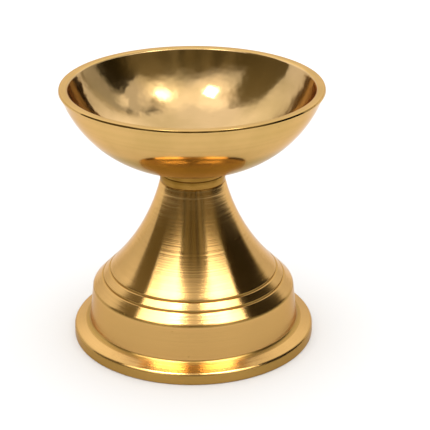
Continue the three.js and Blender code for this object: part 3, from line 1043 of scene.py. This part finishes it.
# %% Set up the side panels
BOWL_PANELS = (  # name, azimuth, elevation, width and height in degrees, radiance
    ("Haze panel", 86, 52, 38, 22, 0.75),
    ("Crescent panel", 113, 26, 17, 44, 0.5),
)
PEDESTAL_PANELS = (
    ("Left panel high", -54, 52, 36, 20, 4.4),
    ("Left panel low", -52, 37, 38, 9, 1.6),
    ("Right panel high", 51, 51, 30, 20, 4.4),
    ("Right panel low", 51, 36, 30, 9, 1.6),
    ("Left panel top", -57, 72, 26, 10, 24.0),
    ("Right panel top", 57, 72, 26, 10, 21.0),
)

for lit_piece, panels in ((bowl, BOWL_PANELS), (pedestal, PEDESTAL_PANELS)):
    receivers = bpy.data.collections.new(f"Lit by the panels of the {lit_piece.name}")
    receivers.objects.link(lit_piece)
    for panel in panels:
        studio_light(*panel).light_linking.receiver_collection = receivers

# %% [markdown]
# ## The room
# The rest of what the brass mirrors is the room, and the world shader paints it. The wall behind the lamp
# is white. The wall on the camera's side is dark, with paler stretches between its furniture, and a dark
# wing stands at the right. Above the wall is a white ceiling. Both the wall's tone and its top are given
# round the horizon, as colour ramps over the azimuth. A panorama image would work too, but it is a file to
# carry, and no stretch of it can be tuned by itself.

# %% The wall round the horizon
WALL_TONES = (  # azimuth from the camera's side, brightness of the wall there
    # Behind the lamp, and round to the left edge of the white wall.
    (-180, 1.1), (-150, 1.05), (-118, 1.0), (-105.5, 0.9),
    # The dark left side.
    (-104.5, 0.16), (-84, 0.15), (-62, 0.12), (-50, 0.1),
    # The camera's side, dark and pale by turns.
    (-38, 0.19), (-26, 0.07), (-14, 0.19), (-6, 0.09), (3, 0.17), (11, 0.06), (19, 0.27), (26, 0.1),
    (38, 0.2), (58, 0.18),
    # The dark wing at the right.
    (72, 0.05), (80, 0.02), (118, 0.02),
    # The right edge of the white wall, and round to the back.
    (122, 0.3), (126, 0.9), (138, 1.0), (160, 1.0), (180, 1.1),
)
WALL_TOPS = (  # azimuth, elevation where the wall gives way to the ceiling
    (-180, 55), (-125, 55), (-110, 50), (-103, 62), (-64, 62), (-61, 37), (-30, 44), (-8, 50), (40, 50),
    (62, 52), (74, 70), (112, 72), (117, 54), (125, 50), (180, 55),
)
WARM_BELOW = 0.6
WARMTH = 0.75
GREEN_SHARE = 0.3  # of the warmth, taken from the green


def warm_grey(tone):
    """Dark corners of a room are warmer than its white walls."""
    warmth = WARMTH * max(0.0, 1 - tone / WARM_BELOW)
    return (tone, tone * (1 - GREEN_SHARE * warmth), tone * (1 - warmth), 1)


def grey_height(degrees):
    """An elevation as a grey: 0 at the horizon, 1 overhead."""
    return (degrees / 90, degrees / 90, degrees / 90, 1)


def azimuth_ramp(tree, share, stops, colour_of):
    """A colour ramp round the horizon. share is 0 to 1 over the whole turn."""
    node = add_node(tree, "ShaderNodeValToRGB")
    feed(tree, share, node.inputs["Fac"])
    elements = node.color_ramp.elements
    elements.remove(elements[0])
    for number, (degrees, value) in enumerate(stops):
        position = degrees / 360 + 0.5
        stop = elements[0] if number == 0 else elements.new(position)
        stop.position = position
        stop.color = colour_of(value)
    return node.outputs["Color"]


print("the wall has", len(WALL_TONES), "tones and", len(WALL_TOPS), "heights")

# %% [markdown]
# ## Wall, ceiling and glow
# The direction of a ray gives its azimuth and its elevation. Where the elevation is over the wall's top,
# the ceiling is mixed in across a soft edge. The wall is brighter higher up, and the ceiling brighter
# towards the back. Each soft box also lights the cloth round it, so it has a glow that fades out.

# %% Paint the wall, the ceiling and the glow
WALL_FADE = (0.0, 0.5, 0.85, 1.35)  # from and to, as a share of overhead, and the wall's gain there
CEILING_FADE = (-0.3, 0.1, 0.85, 1.15)  # from and to, towards the back, and the ceiling's tone there
EDGE_LOW, EDGE_HIGH = -0.1, 0.09  # the soft edge under and over the wall's top
GLOW_OUTER, GLOW_INNER = 24, 9  # degrees from a box's middle
GLOW = (0.7, 0.67, 0.64, 1)


def wall_and_ceiling(tree, direction):
    parts = add_node(tree, "ShaderNodeSeparateXYZ")
    feed(tree, direction, parts.inputs[0])
    towards_lens = maths(tree, "MULTIPLY", parts.outputs["Y"], -1.0)
    azimuth = maths(tree, "ARCTAN2", parts.outputs["X"], towards_lens)
    share = maths(tree, "ADD", maths(tree, "DIVIDE", azimuth, math.tau), 0.5)
    elevation = maths(tree, "DIVIDE", maths(tree, "ARCSINE", parts.outputs["Z"]), math.pi / 2)
    wall_top = azimuth_ramp(tree, share, WALL_TOPS, grey_height)
    over_top = ramp(tree, maths(tree, "SUBTRACT", elevation, wall_top), EDGE_LOW, EDGE_HIGH)
    wall = add_node(tree, "ShaderNodeVectorMath", operation="SCALE")
    feed(tree, azimuth_ramp(tree, share, WALL_TONES, warm_grey), wall.inputs[0])
    feed(tree, ramp(tree, elevation, *WALL_FADE), wall.inputs["Scale"])
    ceiling_tone = ramp(tree, parts.outputs["Y"], *CEILING_FADE)
    return mixed(tree, over_top, wall.outputs["Vector"], ceiling_tone)


def with_glow(tree, direction, room, box):
    nearness = add_node(tree, "ShaderNodeVectorMath", operation="DOT_PRODUCT")
    feed(tree, direction, nearness.inputs[0])
    feed(tree, towards(*box), nearness.inputs[1])
    fade_from, fade_to = math.cos(math.radians(GLOW_OUTER)), math.cos(math.radians(GLOW_INNER))
    near_box = ramp(tree, nearness.outputs["Value"], fade_from, fade_to)
    return mixed(tree, near_box, room, GLOW, blend="ADD")


# %% [markdown]
# ## What the floor and the lens see
# The room above is for the metal only. The floor takes an even light, so that its one shadow is soft, and
# the lens sees a plain pale backdrop past the floor. The Light Path node tells the three kinds of ray
# apart.

# %% Build the world
FLOOR_LIGHT = 1.5
BACKDROP = 0.97


def make_room():
    world = bpy.data.worlds.new("Studio")
    bpy.context.scene.world = world
    world.use_nodes = True
    tree = world.node_tree
    direction = add_node(tree, "ShaderNodeTexCoord").outputs["Generated"]
    room = wall_and_ceiling(tree, direction)
    for box in (LEFT_BOX, RIGHT_BOX):
        room = with_glow(tree, direction, room, box)
    rays = add_node(tree, "ShaderNodeLightPath").outputs
    for ray, tone in ((rays["Is Diffuse Ray"], FLOOR_LIGHT), (rays["Is Camera Ray"], BACKDROP)):
        room = mixed(tree, ray, room, (tone, tone, tone, 1))
    feed(tree, room, tree.nodes["Background"].inputs["Color"])
    return world


print("world:", make_room().name)

# %% [markdown]
# ## How the light becomes colours
# The Standard transform shows a white as white. A filmic one would hold back the highlights that make metal
# shine, and turn the white ground grey.

# %% Choose the view transform
bpy.context.scene.view_settings.view_transform = "Standard"
bpy.context.scene.view_settings.look = "None"
print("view transform:", bpy.context.scene.view_settings.view_transform)
